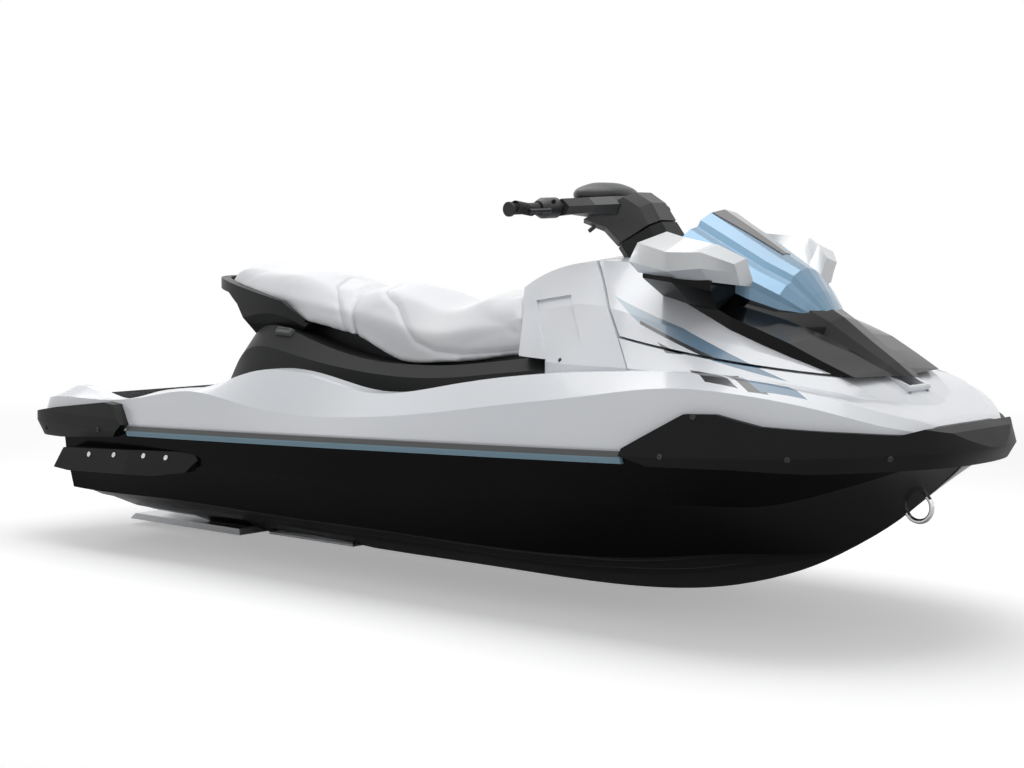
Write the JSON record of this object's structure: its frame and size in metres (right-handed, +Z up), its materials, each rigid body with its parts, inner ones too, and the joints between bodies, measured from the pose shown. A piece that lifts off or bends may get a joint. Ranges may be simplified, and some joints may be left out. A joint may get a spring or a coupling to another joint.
{
  "type": "personal watercraft",
  "caption": "Three-seat personal watercraft with a keeled hull, long stepped seat, handlebar, opening front hood and a steered water-jet drive.",
  "frame": {"origin": "on the centre plane at the waterline, midway along the craft", "axes": "+X towards the bow, +Y towards the port side, +Z up"},
  "size_m": [3.3679, 1.2174, 1.1904],
  "materials": {
    "hull_gloss": "gloss",
    "deck_gloss": "gloss",
    "upholstery": "satin",
    "trim_plastic": "satin",
    "bumper_plastic": "satin",
    "rail_plastic": "satin",
    "mat_foam": "matte",
    "grip_rubber": "matte",
    "bar_aluminium": "anodised",
    "cast_aluminium": "cast",
    "impeller_steel": "machined",
    "engine_block": "cast",
    "eye_steel": "polished",
    "fairing_gloss": "gloss",
    "visor_paint": "metallic",
    "visor_glass": "tinted",
    "panel_plastic": "gloss",
    "mirror_paint": "metallic",
    "mirror_glass": "polished"
  },
  "bodies": {
    "root": {"bow_bumper": "bumper_plastic", "bow_eye": "eye_steel", "console": "deck_gloss", "deck": "deck_gloss", "engine": "engine_block", "footwell_mat_port": "mat_foam", "footwell_mat_starboard": "mat_foam", "grab_handle": "trim_plastic", "hull": "hull_gloss", "intake_grate": "cast_aluminium", "platform_mat": "mat_foam", "pump_housing": "cast_aluminium", "ride_plate": "cast_aluminium", "rub_rail_port": "rail_plastic", "rub_rail_starboard": "rail_plastic", "seat_front": "upholstery", "seat_pedestal": "trim_plastic", "seat_rear": "upholstery", "sponson_port": "bumper_plastic", "sponson_starboard": "bumper_plastic", "steering_column": "trim_plastic", "stern_bumper_port": "bumper_plastic", "stern_bumper_starboard": "bumper_plastic", "stern_eye_port": "eye_steel", "stern_eye_starboard": "eye_steel"},
    "hood": {"hood": "deck_gloss", "hood_fairing": "fairing_gloss", "instrument_panel": "panel_plastic", "mirror_glass_port": "mirror_glass", "mirror_glass_starboard": "mirror_glass", "mirror_housing_port": "mirror_paint", "mirror_housing_starboard": "mirror_paint", "visor": "visor_paint", "visor_insert": "visor_glass"},
    "handlebar": {"control_pod_port": "trim_plastic", "control_pod_starboard": "trim_plastic", "grip_port": "grip_rubber", "grip_starboard": "grip_rubber", "handlebar": "bar_aluminium", "handlebar_pad": "trim_plastic", "shift_lever": "trim_plastic", "steering_shroud": "trim_plastic", "throttle_lever": "bar_aluminium"},
    "glovebox_lid": {"glovebox_lid": "deck_gloss"},
    "steering_nozzle": {"steering_nozzle": "cast_aluminium"},
    "reverse_gate": {"reverse_gate": "trim_plastic"},
    "impeller": {"impeller": "impeller_steel"}
  },
  "joints": [
    {"name": "steering", "type": "hinge", "parent": "root", "child": "handlebar", "pos_m": [0.56, 0, 0.79], "axis": [-0.4695, 0, 0.8829], "range_deg": [-20, 20]},
    {"name": "nozzle_turn", "type": "hinge", "parent": "root", "child": "steering_nozzle", "pos_m": [-1.403, 0, -0.13], "axis": [0, 0, 1], "range_deg": [-18, 18]},
    {"name": "impeller_spin", "type": "hinge", "parent": "root", "child": "impeller", "pos_m": [-1.175, 0, -0.13], "axis": [1, 0, 0], "continuous": true},
    {"name": "reverse_gate", "type": "hinge", "parent": "root", "child": "reverse_gate", "pos_m": [-1.345, 0, -0.13], "axis": [0, 1, 0], "range_deg": [-65, 0]},
    {"name": "hood_hinge", "type": "hinge", "parent": "root", "child": "hood", "pos_m": [1.437, 0, 0.394], "axis": [0, 1, 0], "range_deg": [0, 50]},
    {"name": "glovebox_lid", "type": "hinge", "parent": "root", "child": "glovebox_lid", "pos_m": [0.291, 0, 0.668], "axis": [0, -1, 0], "range_deg": [0, 95]}
  ],
  "couplings": [
    {"joint": "nozzle_turn", "follows": "steering", "ratio": -0.9}
  ]
}
